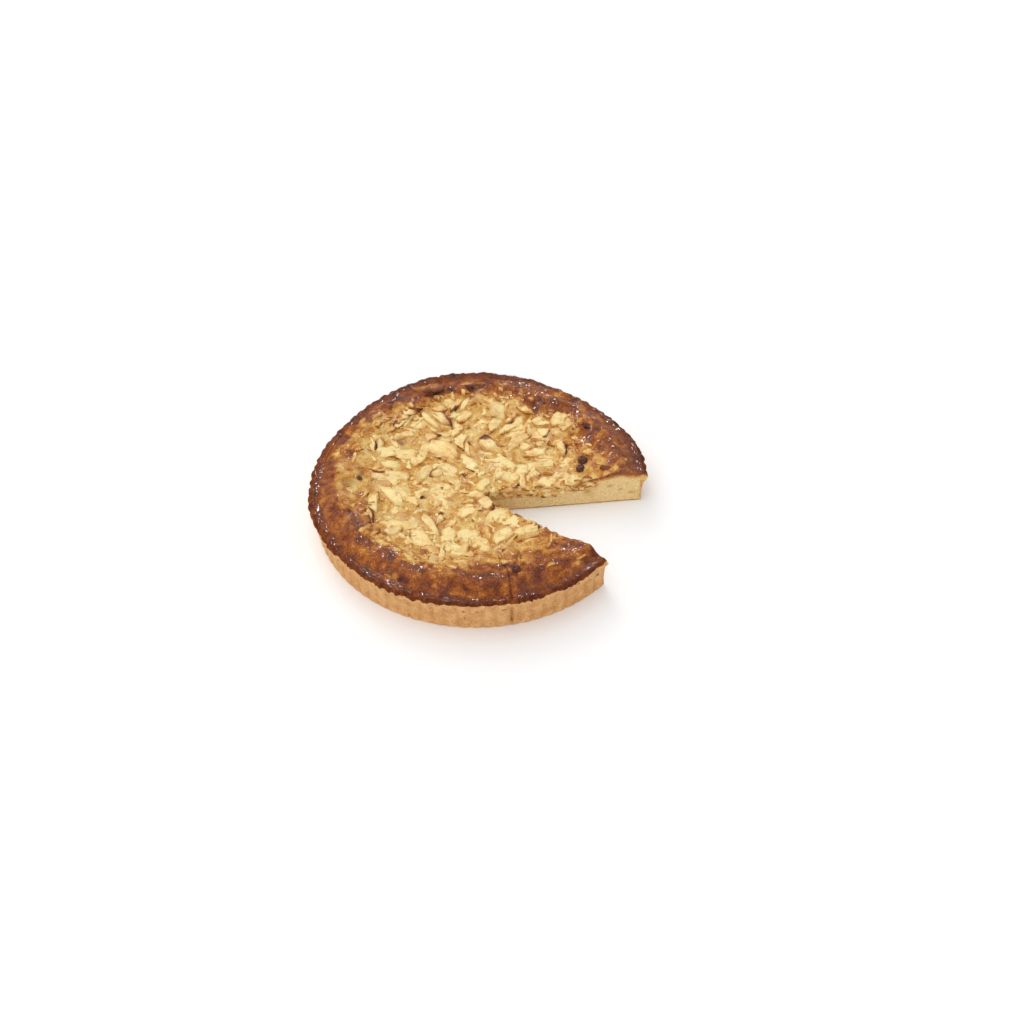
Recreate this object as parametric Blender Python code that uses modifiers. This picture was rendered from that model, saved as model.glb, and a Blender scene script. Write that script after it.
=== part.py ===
# A round apple tart with a fluted side, a browned domed border and a heap of baked apple
# slices in its middle. One eighth is cut out, so the crumb and the apple layer show.
# The tart stands on the plane z = 0, its centre on the Z axis, the missing eighth towards +X.

import math
import random

import bmesh
import bpy
from mathutils import Euler, Vector, noise

MM = 0.001

# The tart, in millimetres
TART_RADIUS = 135.0
FOOT_RADIUS = 131.7
VALLEY_RADIUS = 127.0
FLUTES = 90
STEPS_A_FLUTE = 3
COLUMNS = FLUTES * STEPS_A_FLUTE
# Inside this ring the cake has one column for each flute
LAST_WIDE_RING = 6
FLUTE_DEPTH = 0.75
GAP = 0.5
LUMPS = 0.9

# The missing eighth: its point, and the directions of its two cuts in degrees
CUT_POINT = (0.0, -13.5)
BACK_CUT = 6.2
FRONT_CUT = -38.9
CUT_REACH = 190.0

# Height of the visible surface at each radius: flat middle, domed border, valley behind the lip
SURFACE = ((0, 22.5), (40, 21.5), (62, 22.0), (80, 23.4), (92, 27.0), (104, 31.0),
           (112, 33.8), (117, 33.8), (122, 31.0), (127, 28.0))
# The border stands highest at this angle, and lower by this much at the far side
DOME_HIGHEST_AT = 300.0
DOME_FALL = 3.5

# How far out the apple reaches, every 15 degrees from +X
APPLE_REACH = (87, 88, 91, 109, 92, 108, 108, 106, 104, 112, 107, 97,
               91, 91, 97, 96, 94, 101, 82, 82, 72, 76, 80, 85)
# The basin under the apple: share of the reach, and depth under the surface
BASIN = ((0.0, 9.5), (0.57, 8.9), (0.78, 5.5))
BASIN_EDGE_DEPTH = 4.0
BASIN_EDGE_SLOPE = 1.0
# The apple core's top lies this far under the surface, so that the slices stand out of it
CORE_DROP = 0.6
CORE_EDGE_DROP = 1.2
CORE_RINGS = 8

# Rings over the border, as shares of the way from the apple to the valley behind the lip
BORDER_SHARES = (0.0, 0.33, 0.62, 0.84)
# Rings of the lip and the side, from the valley down to the middle of the underside:
# radius, height, share of the flutes, share of the lip's swelling
LIP_RINGS = ((VALLEY_RADIUS, 28.0, 0.2, 0.8), (131.3, 28.3, 0.7, 1.0), (TART_RADIUS, 24.4, 1.0, 1.0),
             (132.3, 19.6, 0.8, 0.5), (FOOT_RADIUS, 0.0, 0.6, 0.2), (0.0, 0.0, 0.0, 0.0))
LIP_SAG = 0.6

BASIN_RINGS = len(BASIN)
VALLEY_RING = BASIN_RINGS + 1 + len(BORDER_SHARES)

# How far the lip swells outwards, and how far it rises, every 15 degrees from +X
LIP_SWELL = (1.0, 2.1, -1.1, -2.7, -2.7, -0.5, 1.0, 2.2, 1.7, -0.4, -1.6, -0.5,
             0.4, 1.7, 0.6, 0.6, 1.0, 1.1, 1.2, 1.1, -0.1, -0.6, -0.6, -0.8)
LIP_RISE = (0, 0, 0, 0, 0.2, 0.8, 1.5, 1.5, 1.0, 0.2, 0, 0, 0, 0, 0, 0, 0, 0, 0, 0, 0, 0, 0, 0)

# Two marks of the knife nick the border and the side: angle of the tart, and depth
KNIFE_MARKS = ((281.33, 1.2), (106.67, 1.6))

# The apple pieces that stand out: x, y, direction in degrees, length, width
BACK_LEFT_SLICES = (
    (-65, 83, 20, 22, 8), (-69, 73, 12, 15, 6), (-71, 65, 55, 13, 6), (-51, 82, -50, 32, 5),
    (-43, 72, -52, 26, 9), (-35, 79, -52, 26, 9), (-54, 70, 0, 16, 12), (-64, 56, 30, 22, 9),
    (-42, 54, 25, 18, 8), (-87, 44, -30, 15, 10), (-95, 44, -62, 16, 6), (-62, 33, -10, 18, 12),
    (-80, 32, 10, 18, 10), (-79, 19, 5, 24, 8), (-75, 6, -5, 34, 13), (-32, 39, -42, 32, 17),
    (-51, 25, 50, 15, 9), (-45, 9, 62, 20, 7), (-11, 42, 95, 22, 5), (-20, 97, 75, 19, 5),
    (-14, 94, 68, 18, 5), (-30, 99, 5, 13, 11), (-14, 80, 50, 16, 8), (-22, 64, 60, 15, 10),
    (-17, 50, 80, 18, 9), (-22, 13, -40, 20, 13))
BACK_RIGHT_SLICES = (
    (6, 47, 100, 22, 14), (16, 89, 70, 23, 14), (39, 97, -50, 20, 6), (12, 70, 50, 16, 9),
    (28, 69, 40, 30, 8), (30, 58, 41, 34, 8), (32, 48, 42, 28, 8), (51, 56, 5, 16, 13),
    (54, 71, 10, 17, 10), (67, 70, 70, 15, 12), (77, 69, 40, 14, 11), (68, 42, -70, 23, 9),
    (55, 29, 0, 13, 4), (50, 21, 4, 24, 5), (34, 6, -80, 27, 6), (57, 0, 20, 16, 12),
    (74, 5, 80, 19, 12), (72, 20, 60, 13, 8), (45, 34, 10, 20, 9), (20, 20, -30, 18, 12),
    (-2, 74, 30, 16, 12))
FRONT_LEFT_SLICES = (
    (-32, -15, 10, 30, 10), (-32, -6, 5, 20, 7), (-57, -17, -55, 28, 12), (-70, -15, -55, 26, 9),
    (-83, -28, 95, 18, 7), (-64, -35, 40, 17, 12), (-62, -51, -3, 30, 11), (-69, -63, 15, 15, 9),
    (-54, -68, -60, 12, 7), (-41, -73, -65, 36, 14), (-36, -49, -55, 24, 7), (-28, -31, 20, 11, 9),
    (-9, -35, 35, 15, 8), (-21, -63, 75, 20, 14), (-23, -76, 60, 14, 9), (-21, -91, -15, 34, 10),
    (-13, -79, -60, 18, 7), (-7, -61, -20, 16, 12), (-14, -45, 10, 16, 10))
FRONT_RIGHT_SLICES = (
    (3, -3, 60, 15, 8), (7, -26, -50, 16, 9), (14, -38, 35, 16, 9), (40, -60, 13, 24, 8),
    (4, -71, -30, 16, 11), (19, -62, 40, 18, 9), (-2, -16, 30, 14, 9))
# One slice hangs into the gap from the front cut
HANGING_SLICE = (33, -46.5, -22, 22, 12)
SLICE_HEIGHT = 5.5
LONG_SLICE = 22.0
HEAP_MARGIN = 3.0
# Smaller pieces fill the rest, from this many places of a sunflower spiral
GOLDEN_ANGLE = 137.508
FILL_PLACES = 130
FILL_CLEAR = 9.5

# Dark raisins, each half sunk: x, y and diameter
RAISINS = ((84.5, 20.5, 9.0), (82.5, 12.0, 8.0), (29.5, -106, 7.5), (-10.5, 110.5, 7.5), (89.5, 57.5, 6.5))
RAISIN_FLATNESS = 0.72
# One scorched slice lies on the border at the back: x, y, direction, length, width
SCORCHED_SLICE = (-41.5, 106, 5, 16, 11)


def clear_scene():
    for item in list(bpy.data.objects):
        bpy.data.objects.remove(item)


def collection(name):
    made = bpy.data.collections.new(name)
    bpy.context.scene.collection.children.link(made)
    return made


def material(name, colour, roughness):
    made = bpy.data.materials.new(name)
    made.use_nodes = True
    shader = made.node_tree.nodes["Principled BSDF"]
    shader.inputs["Base Color"].default_value = (*colour, 1.0)
    shader.inputs["Roughness"].default_value = roughness
    shader.inputs["Metallic"].default_value = 0.0
    return made


def between(pairs, place):
    """The value at a place between pairs of place and value, straight from one to the next."""
    if place <= pairs[0][0]:
        return pairs[0][1]
    for (start, low), (end, high) in zip(pairs, pairs[1:]):
        if place <= end:
            return low + (high - low) * (place - start) / (end - start)
    return pairs[-1][1]


def round_the_tart(readings, angle):
    """A value read every 15 degrees, eased from one reading to the next."""
    place = (angle % 360.0) / 15.0
    index = int(place)
    share = (1.0 - math.cos(math.pi * (place - index))) / 2.0
    here, after = readings[index % len(readings)], readings[(index + 1) % len(readings)]
    return here + (after - here) * share


def apple_reach(angle):
    """Radius of the heap's edge."""
    return round_the_tart(APPLE_REACH, angle)


def surface_height(radius, angle):
    height = between(SURFACE, radius)
    border = min(max((radius - 80.0) / 35.0, 0.0), 1.0) * min(max((VALLEY_RADIUS - radius) / 8.0, 0.0), 1.0)
    fall = DOME_FALL * (1.0 - math.cos(math.radians(angle - DOME_HIGHEST_AT))) / 2.0
    around = math.radians(angle)
    lumps = LUMPS * noise.noise(Vector((2.5 * math.cos(around), 2.5 * math.sin(around), radius / 40.0)))
    return height - border * fall + lumps


def basin_height(share, angle):
    """Floor of the basin at a share of the heap's reach, at most at the basin's edge."""
    reach = apple_reach(angle)
    edge_share = (reach - BASIN_EDGE_SLOPE) / reach
    depths = BASIN + ((edge_share, BASIN_EDGE_DEPTH),)
    heights = [(at, surface_height(at * reach, angle) - depth) for at, depth in depths]
    return between(heights, share)


def flute(angle):
    """Round lobes with sharp notches between them, from -1 to 0.5."""
    turn = math.radians(angle) * FLUTES / 2.0
    return 1.5 * abs(math.sin(turn)) - 1.0


def turned_mesh(name, rings, steps):
    """A closed form turned by a Screw modifier, its rings 1 mm under each other until placed."""
    rows = [0.0] + [10.0] * (rings - 2) + [0.0]
    mesh = bpy.data.meshes.new(name + "_profile")
    shape = bmesh.new()
    line = [shape.verts.new((row * MM, 0.0, -index * MM)) for index, row in enumerate(rows)]
    for upper, lower in zip(line, line[1:]):
        shape.edges.new((upper, lower))
    shape.to_mesh(mesh)
    shape.free()
    profile = bpy.data.objects.new(name + "_profile", mesh)
    bpy.context.scene.collection.objects.link(profile)
    screw = profile.modifiers.new("Turn", "SCREW")
    screw.steps = screw.render_steps = steps
    screw.use_merge_vertices = True
    screw.merge_threshold = 0.00001
    turned = evaluated_mesh(profile, name)
    bpy.data.objects.remove(profile)
    return turned


def place_rings(mesh, place_of):
    """Moves each ring of a turned mesh to its radius and height round the tart."""
    for vertex in mesh.vertices:
        ring = round(-vertex.co.z / MM)
        angle = math.degrees(math.atan2(vertex.co.y, vertex.co.x)) % 360.0
        radius, height = place_of(ring, angle)
        around = math.radians(angle)
        vertex.co = Vector((radius * math.cos(around), radius * math.sin(around), height)) * MM


def evaluated_mesh(item, name):
    graph = bpy.context.evaluated_depsgraph_get()
    mesh = bpy.data.meshes.new_from_object(item.evaluated_get(graph))
    mesh.name = name
    return mesh


def piece(name, mesh, look, holder):
    made = bpy.data.objects.new(name, mesh)
    mesh.materials.clear()
    if look:
        mesh.materials.append(look)
    holder.objects.link(made)
    return made


def face_out(mesh):
    shape = bmesh.new()
    shape.from_mesh(mesh)
    bmesh.ops.recalc_face_normals(shape, faces=shape.faces)
    shape.to_mesh(mesh)
    shape.free()


def smooth(item, angle):
    item.data.shade_smooth()
    item.data.set_sharp_from_angle(angle=math.radians(angle))


def boolean(item, operation, cutter=None, group=None):
    """A Boolean with one object or with a collection, applied at once."""
    step = item.modifiers.new(operation.title(), "BOOLEAN")
    step.operation = operation
    step.solver = "EXACT"
    if group:
        step.operand_type = "COLLECTION"
        step.collection = group
    else:
        step.object = cutter
    mesh = evaluated_mesh(item, item.name)
    item.modifiers.remove(step)
    item.data = mesh


def keep_largest_body(item):
    """Drops the scraps that a cut leaves loose, and the hollows that fusing seals."""
    shape = bmesh.new()
    shape.from_mesh(item.data)
    bmesh.ops.triangulate(shape, faces=shape.faces)
    waiting = set(shape.faces)
    bodies = []
    while waiting:
        body = [waiting.pop()]
        for face in body:
            for edge in face.edges:
                for other in edge.link_faces:
                    if other in waiting and len(edge.link_faces) == 2:
                        waiting.remove(other)
                        body.append(other)
        bodies.append(body)
    bodies.sort(key=len)
    loose = [face for body in bodies[:-1] for face in body]
    bmesh.ops.delete(shape, geom=loose, context="FACES")
    shape.to_mesh(item.data)
    shape.free()


def flat_outline(name, points, low, high, holder):
    """A flat outline of millimetre points, filled and extruded between two heights."""
    curve = bpy.data.curves.new(name, "CURVE")
    curve.dimensions = "2D"
    curve.fill_mode = "BOTH"
    curve.extrude = (high - low) / 2.0 * MM
    line = curve.splines.new("POLY")
    line.points.add(len(points) - 1)
    for point, (x, y) in zip(line.points, points):
        point.co = (x * MM, y * MM, 0.0, 1.0)
    line.use_cyclic_u = True
    drawn = bpy.data.objects.new(name + "_curve", curve)
    bpy.context.scene.collection.objects.link(drawn)
    mesh = evaluated_mesh(drawn, name)
    bpy.data.objects.remove(drawn)
    shape = bmesh.new()
    shape.from_mesh(mesh)
    bmesh.ops.remove_doubles(shape, verts=shape.verts, dist=0.00001)
    bmesh.ops.recalc_face_normals(shape, faces=shape.faces)
    shape.to_mesh(mesh)
    shape.free()
    made = piece(name, mesh, None, holder)
    made.location.z = (high + low) / 2.0 * MM
    return made


def as_cutter(item):
    item.hide_render = True
    item.display_type = "WIRE"
    return item


def wedge_cutter(holder):
    """The missing eighth, from its point out past the rim."""
    x, y = CUT_POINT
    corners = [(x, y)]
    for direction in (FRONT_CUT, BACK_CUT):
        turn = math.radians(direction)
        corners.append((x + CUT_REACH * math.cos(turn), y + CUT_REACH * math.sin(turn)))
    return as_cutter(flat_outline("missing_eighth", corners, -10.0, 70.0, holder))


def half_moon(name, slice_of, holder, height=SLICE_HEIGHT, tilt=(0.0, 0.0), bend=0.16):
    """One apple slice: a flat piece of six or eight sloping sides, bent like a half moon."""
    x, y, direction, length, width = slice_of
    sides = 8 if length > LONG_SLICE else 6
    mesh = bpy.data.meshes.new(name)
    shape = bmesh.new()
    bmesh.ops.create_cone(shape, cap_ends=True, segments=sides, radius1=0.5, radius2=0.36, depth=1.0)
    for vertex in shape.verts:
        along, across, up = vertex.co
        vertex.co = Vector((along * length, (across + bend * (1.0 - 8.0 * along * along)) * width,
                            up * height)) * MM
    shape.to_mesh(mesh)
    shape.free()
    made = piece(name, mesh, None, holder)
    made.rotation_euler = Euler((math.radians(tilt[0]), math.radians(tilt[1]), math.radians(direction)))
    made.location = Vector((x, y, heap_height(x, y))) * MM
    return made


def rest_over(item, floor_of):
    """Raises a slice until all of it clears what lies under it."""
    turn = item.rotation_euler.to_matrix()
    lift = 0.0
    for vertex in item.data.vertices:
        spot = (turn @ vertex.co + item.location) / MM
        lift = max(lift, floor_of(*polar(spot.x, spot.y)) + 2.0 * GAP - spot.z)
    item.location.z += lift * MM


def basin_floor(radius, angle):
    return basin_height(radius / apple_reach(angle), angle)


def polar(x, y):
    return math.hypot(x, y), math.degrees(math.atan2(y, x)) % 360.0


def heap_height(x, y):
    """Height of the apple core's top at a point."""
    return surface_height(*polar(x, y)) - CORE_DROP


def knife_mark(angle):
    """How deep a mark of the knife goes at an angle."""
    return sum(depth for at, depth in KNIFE_MARKS if abs(at - angle) < 180.0 / COLUMNS)


def cake_place(index, angle):
    """Radius and height of the cake's ring number index, at an angle."""
    reach = apple_reach(angle)
    mark = knife_mark(angle)
    if index < BASIN_RINGS:
        share = BASIN[index][0]
        return share * reach, basin_height(share, angle)
    if index == BASIN_RINGS:
        radius = reach - BASIN_EDGE_SLOPE
        return radius, basin_height(radius / reach, angle)
    if index < VALLEY_RING:
        radius = reach + (VALLEY_RADIUS - reach) * BORDER_SHARES[index - BASIN_RINGS - 1]
        return radius, surface_height(radius, angle) - (mark if index == VALLEY_RING - 1 else 0.0)
    around = math.radians(angle)
    sag = LIP_SAG * noise.noise(Vector((6.0 * math.cos(around), 6.0 * math.sin(around), 3.0)))
    radius, height, fluting, swelling = LIP_RINGS[index - VALLEY_RING]
    radius += FLUTE_DEPTH * fluting * flute(angle) + round_the_tart(LIP_SWELL, angle) * swelling
    if radius > VALLEY_RADIUS:
        radius -= 0.6 * mark
    rise = round_the_tart(LIP_RISE, angle) * swelling
    return radius, height + (sag + rise - mark if 0.0 < height else 0.0)


def widen_columns(mesh):
    """Welds the columns of the inner rings to one for each flute, as nothing fine shows there."""
    shape = bmesh.new()
    shape.from_mesh(mesh)
    columns = {}
    for vertex in shape.verts:
        ring = round(-vertex.co.z / MM)
        if 0 < ring <= LAST_WIDE_RING:
            turn = math.atan2(vertex.co.y, vertex.co.x) / (2.0 * math.pi)
            columns[ring, round(turn * COLUMNS) % COLUMNS] = vertex
    target = {vertex: columns[ring, column - column % STEPS_A_FLUTE]
              for (ring, column), vertex in columns.items() if column % STEPS_A_FLUTE}
    bmesh.ops.weld_verts(shape, targetmap=target)
    shape.to_mesh(mesh)
    shape.free()


def make_cake(look, holder):
    mesh = turned_mesh("cake", VALLEY_RING + len(LIP_RINGS), COLUMNS)
    widen_columns(mesh)
    place_rings(mesh, cake_place)
    face_out(mesh)
    return piece("cake", mesh, look, holder)


def core_place(index, angle):
    """Radius and height of the apple core's ring number index, at an angle."""
    reach = apple_reach(angle)
    edge = (reach - BASIN_EDGE_SLOPE - 3.0 * GAP) / reach
    upper = (0.0, 0.4, 0.78, edge)
    lower = (edge,) + tuple(share for share, depth in reversed(BASIN))
    if index < len(upper):
        radius = upper[index] * reach
        drop = CORE_EDGE_DROP if upper[index] == edge else CORE_DROP
        return radius, surface_height(radius, angle) - drop
    share = lower[index - len(upper)]
    return share * reach, basin_height(share, angle) + GAP


def make_core(look, holder):
    mesh = turned_mesh("apple_topping", CORE_RINGS, FLUTES)
    place_rings(mesh, core_place)
    face_out(mesh)
    return piece("apple_topping", mesh, look, holder)


def inside_heap(slice_of):
    """How far the slice's ends and sides stay inside the heap's edge, in millimetres."""
    x, y, direction, length, width = slice_of
    turn = math.radians(direction)
    along = Vector((math.cos(turn), math.sin(turn)))
    across = Vector((-along.y, along.x))
    room = math.inf
    for end, side in ((0.5, 0.0), (-0.5, 0.0), (0.3, 0.6), (-0.3, 0.6), (0.3, -0.6), (-0.3, -0.6)):
        spot = Vector((x, y)) + along * length * end + across * width * side
        radius, angle = polar(*spot)
        room = min(room, apple_reach(angle) - radius)
    return room


def moved_inside(slice_of):
    """The slice, drawn towards the middle until no part of it crosses the border."""
    x, y, direction, length, width = slice_of
    while inside_heap((x, y, direction, length, width)) < HEAP_MARGIN:
        x, y = 0.985 * x, 0.985 * y
    return (x, y, direction, length, width)


def fill_slices(taken):
    """Smaller slices on a sunflower spiral, where no large one lies."""
    draw = random.Random(11)
    found = []
    for index in range(FILL_PLACES):
        angle = index * GOLDEN_ANGLE
        radius = apple_reach(angle) * math.sqrt((index + 0.5) / FILL_PLACES)
        x = radius * math.cos(math.radians(angle)) + draw.uniform(-2.0, 2.0)
        y = radius * math.sin(math.radians(angle)) + draw.uniform(-2.0, 2.0)
        size = (draw.uniform(0.0, 180.0), draw.uniform(12.0, 20.0), draw.uniform(6.0, 9.0))
        if min(math.hypot(x - other[0], y - other[1]) for other in taken) >= FILL_CLEAR:
            found.append((x, y, *size))
    return found


def make_topping(look, holder, wedge):
    core = make_core(look, holder)
    heap = collection("apple_slices")
    heroes = BACK_LEFT_SLICES + BACK_RIGHT_SLICES + FRONT_LEFT_SLICES + FRONT_RIGHT_SLICES
    draw = random.Random(10)
    for index, slice_of in enumerate(heroes + tuple(fill_slices(heroes))):
        tilt = (draw.uniform(-12.0, 12.0), draw.uniform(-6.0, 6.0))
        rest_over(half_moon("slice_%d" % index, moved_inside(slice_of), heap, tilt=tilt), basin_floor)
    boolean(core, "UNION", group=heap)
    boolean(core, "DIFFERENCE", cutter=wedge)
    for item in list(heap.objects):
        bpy.data.objects.remove(item)
    hanging = half_moon("hanging_slice", HANGING_SLICE, heap)
    rest_over(hanging, basin_floor)
    boolean(core, "UNION", cutter=hanging)
    bpy.data.objects.remove(hanging)
    bpy.data.collections.remove(heap)
    return core


def raisin(name, place, grown, look, holder):
    """A flattened ball half sunk in the surface, or its pocket when it is grown by the gap."""
    x, y, size = place
    radius, angle = polar(x, y)
    mesh = bpy.data.meshes.new(name)
    shape = bmesh.new()
    bmesh.ops.create_icosphere(shape, subdivisions=2, radius=1.0)
    half = size / 2.0 + grown
    for vertex in shape.verts:
        vertex.co = Vector((vertex.co.x * half, vertex.co.y * half * 0.9,
                            vertex.co.z * (size / 2.0 * RAISIN_FLATNESS + grown))) * MM
    shape.to_mesh(mesh)
    shape.free()
    made = piece(name, mesh, look, holder)
    made.location = Vector((x, y, surface_height(radius, angle) + 1.0)) * MM
    made.rotation_euler.z = math.radians(3.0 * x)
    return made


def main():
    clear_scene()
    tart = collection("apple_tart")
    cutters = collection("cutters")
    crust = material("baked_crust", (0.36, 0.15, 0.05), 0.45)
    apple = material("baked_apple", (0.80, 0.56, 0.23), 0.4)
    dark = material("raisin_skin", (0.05, 0.02, 0.015), 0.35)
    scorched = material("scorched_apple", (0.10, 0.04, 0.03), 0.4)

    wedge = wedge_cutter(cutters)
    cake = make_cake(crust, tart)
    boolean(cake, "DIFFERENCE", cutter=wedge)
    topping = make_topping(apple, tart, wedge)

    for index, place in enumerate(RAISINS):
        raisin("raisin_%d" % (index + 1), place, 0.0, dark, tart)
        pocket = as_cutter(raisin("raisin_pocket_%d" % (index + 1), place, GAP, None, cutters))
        radius, angle = polar(place[0], place[1])
        boolean(cake, "DIFFERENCE", cutter=pocket)
        if radius - place[2] < apple_reach(angle):
            boolean(topping, "DIFFERENCE", cutter=pocket)
    keep_largest_body(topping)

    flap = half_moon("scorched_slice", SCORCHED_SLICE, tart, height=3.0, bend=0.2)
    flap.data.materials.append(scorched)
    rest_over(flap, surface_height)
    for item in tart.objects:
        smooth(item, 32.0)


main()
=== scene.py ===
import math
import random
from functools import lru_cache

import bmesh
import bpy
from mathutils import Euler, Matrix, Vector, noise


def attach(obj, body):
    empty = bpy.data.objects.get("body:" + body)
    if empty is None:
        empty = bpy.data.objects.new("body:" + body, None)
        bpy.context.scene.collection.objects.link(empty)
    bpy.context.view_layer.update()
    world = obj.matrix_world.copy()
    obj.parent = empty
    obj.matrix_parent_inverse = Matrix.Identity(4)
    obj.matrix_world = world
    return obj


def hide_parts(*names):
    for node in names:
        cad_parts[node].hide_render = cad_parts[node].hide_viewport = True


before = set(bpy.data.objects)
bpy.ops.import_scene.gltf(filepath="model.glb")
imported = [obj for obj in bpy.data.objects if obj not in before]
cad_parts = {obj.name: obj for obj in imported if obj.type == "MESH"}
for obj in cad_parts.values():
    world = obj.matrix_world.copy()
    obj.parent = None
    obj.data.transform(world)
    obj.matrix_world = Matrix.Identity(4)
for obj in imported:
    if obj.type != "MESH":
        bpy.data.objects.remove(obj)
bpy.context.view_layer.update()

mm = 0.001
# points nearer than this many millimetres are welded
weldGap = 0.004
# noise vectors differ from run to run unless they are seeded
noise.seed_set(5)

# The tart's form, in millimetres and degrees, as the solids have it; only the foot flares 1 mm more
tart = {
    "valleyRadius": 127.0,
    "flutes": 90,
    "fluteDepth": 0.75,
    "cutPoint": Vector((0.0, -13.5)),
    "backCut": 6.2,
    "frontCut": 321.1,
    # height of the surface at each radius: flat middle, domed border, valley behind the lip
    "surface": ((0, 22.5), (40, 21.5), (62, 22.0), (80, 23.4), (92, 27.0), (104, 31.0),
                (112, 33.8), (117, 33.8), (122, 31.0), (127, 28.0)),
    "domeHighestAt": 300.0,
    "domeFall": 3.5,
    "lumps": 0.9,
    # how far out the apple reaches, every 15 degrees from +X
    "appleReach": (87, 88, 91, 109, 92, 108, 108, 106, 104, 112, 107, 97,
                   91, 91, 97, 96, 94, 101, 82, 82, 72, 76, 80, 85),
    # where the golden batter turns brown, every 15 degrees
    "brownFrom": (112, 103, 95, 99, 94, 103, 107, 106, 106, 113, 117, 121,
                  117, 114, 104, 107, 106, 112, 96, 98, 92, 93, 100, 107),
    # the basin under the apple: share of the reach and depth
    "basin": ((0.0, 9.5), (0.57, 8.9), (0.78, 5.5), (0.99, 4.0)),
    # how far the lip swells outwards, and how far it rises, every 15 degrees
    "lipSwell": (1.0, 2.1, -1.1, -2.7, -2.7, -0.5, 1.0, 2.2, 1.7, -0.4, -1.6, -0.5,
                 0.4, 1.7, 0.6, 0.6, 1.0, 1.1, 1.2, 1.1, -0.1, -0.6, -0.6, -0.8),
    "lipRise": (0,) * 4 + (0.2, 0.8, 1.5, 1.5, 1.0, 0.2) + (0,) * 14,
    # from the valley over the lip and down the side: radius, height, share of flutes, of swelling
    "lip": ((127.0, 28.0, 0.15, 0.8), (129.4, 28.0, 0.4, 0.9), (131.3, 28.5, 0.7, 1.0),
            (133.4, 27.6, 0.9, 1.0), (134.9, 25.6, 1.0, 1.0), (135.0, 23.4, 1.0, 1.0),
            (133.6, 20.9, 0.95, 0.8), (132.5, 18.6, 0.8, 0.5), (132.2, 13.0, 0.7, 0.35),
            (132.0, 6.0, 0.65, 0.25), (132.7, 1.2, 0.6, 0.2), (132.6, 0.0, 0.6, 0.2)),
    # where the pale side ends under the dark lip, every 15 degrees
    "paleTop": (24.4,) * 14 + (24.6, 26.2, 26.2, 26.0, 29.0, 26.5, 25.5, 27.5, 24.4, 24.4),
    # which ring of the lip is its outermost, and how unevenly the lip sags
    "lipTip": 4,
    "lipSag": 0.6,
    # marks of a knife on the lip and side: direction, depth, width in degrees
    "knifeMarks": ((281.33, 1.1, 0.55), (106.67, 1.5, 0.6)),
}


def paint(red, green, blue):
    # a colour as the eye reads it on a screen, 0 to 255, made linear
    def linear(value):
        share = value / 255.0
        return share / 12.92 if share <= 0.04045 else ((share + 0.055) / 1.055) ** 2.4
    return (linear(red), linear(green), linear(blue), 1.0)


def clamp(value, low=0.0, high=1.0):
    return max(low, min(high, value))


def ease(value):
    share = clamp(value)
    return share * share * (3.0 - 2.0 * share)


def band(value, start, end):
    return ease((value - start) / (end - start))


def smoothBetween(pairs, place):
    # a smooth line through pairs of place and value
    if place <= pairs[0][0]:
        return pairs[0][1]
    if place >= pairs[-1][0]:
        return pairs[-1][1]
    index = next(number for number, pair in enumerate(pairs) if place < pair[0]) - 1

    def slopeAt(number):
        before, after = pairs[max(number - 1, 0)], pairs[min(number + 1, len(pairs) - 1)]
        return (after[1] - before[1]) / (after[0] - before[0])

    (start, low), (end, high) = pairs[index], pairs[index + 1]
    width = end - start
    share = (place - start) / width
    square, cube = share * share, share ** 3
    return (low * (2 * cube - 3 * square + 1) + high * (3 * square - 2 * cube)
            + width * slopeAt(index) * (cube - 2 * square + share)
            + width * slopeAt(index + 1) * (cube - square))


def roundTheTart(readings, angle):
    # a value read every 15 degrees, eased from one reading to the next
    place = (angle % 360.0) / 15.0
    index = int(place)
    share = (1.0 - math.cos(math.pi * (place - index))) / 2.0
    here, after = readings[index % len(readings)], readings[(index + 1) % len(readings)]
    return here + (after - here) * share


def appleReach(angle):
    return roundTheTart(tart["appleReach"], angle)


def polar(x, y):
    return math.hypot(x, y), math.degrees(math.atan2(y, x)) % 360.0


def onRound(radius, angle):
    turn = math.radians(angle)
    return radius * math.cos(turn), radius * math.sin(turn)


def surfaceHeight(radius, angle):
    height = smoothBetween(tart["surface"], radius)
    border = clamp((radius - 80.0) / 35.0) * clamp((tart["valleyRadius"] - radius) / 8.0)
    fall = tart["domeFall"] * (1.0 - math.cos(math.radians(angle - tart["domeHighestAt"]))) / 2.0
    spot = Vector((*onRound(2.5, angle), radius / 40.0))
    return height - border * fall + tart["lumps"] * noise.noise(spot)


def basinHeight(share, angle):
    reach = appleReach(angle)
    heights = [(at, surfaceHeight(at * reach, angle) - depth) for at, depth in tart["basin"]]
    return smoothBetween(heights, share)


def flute(angle):
    turn = math.radians(angle) * tart["flutes"] / 2.0
    return 1.5 * abs(math.sin(turn)) ** 0.8 - 1.0


def knifeMark(angle):
    return sum(depth * math.exp(-((angle - at) / width) ** 2) for at, depth, width in tart["knifeMarks"])


def wave(x, y, size, seed=0.0):
    # soft noise from -1 to 1 whose bumps are about this size in millimetres
    return noise.noise(Vector((x / size, y / size, seed)))


# Shader sums


class Num:
    # a socket that holds a number, so that sums read as sums
    def __init__(self, finish, socket):
        self.finish, self.socket = finish, socket

    def sum(self, operation, first, second=None):
        return self.finish.math(operation, first, second)

    def __add__(self, other):
        return self.sum("ADD", self, other)

    def __sub__(self, other):
        return self.sum("SUBTRACT", self, other)

    def __mul__(self, other):
        return self.sum("MULTIPLY", self, other)

    def __rsub__(self, other):
        return self.sum("SUBTRACT", other, self)

    __radd__, __rmul__ = __add__, __mul__


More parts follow.
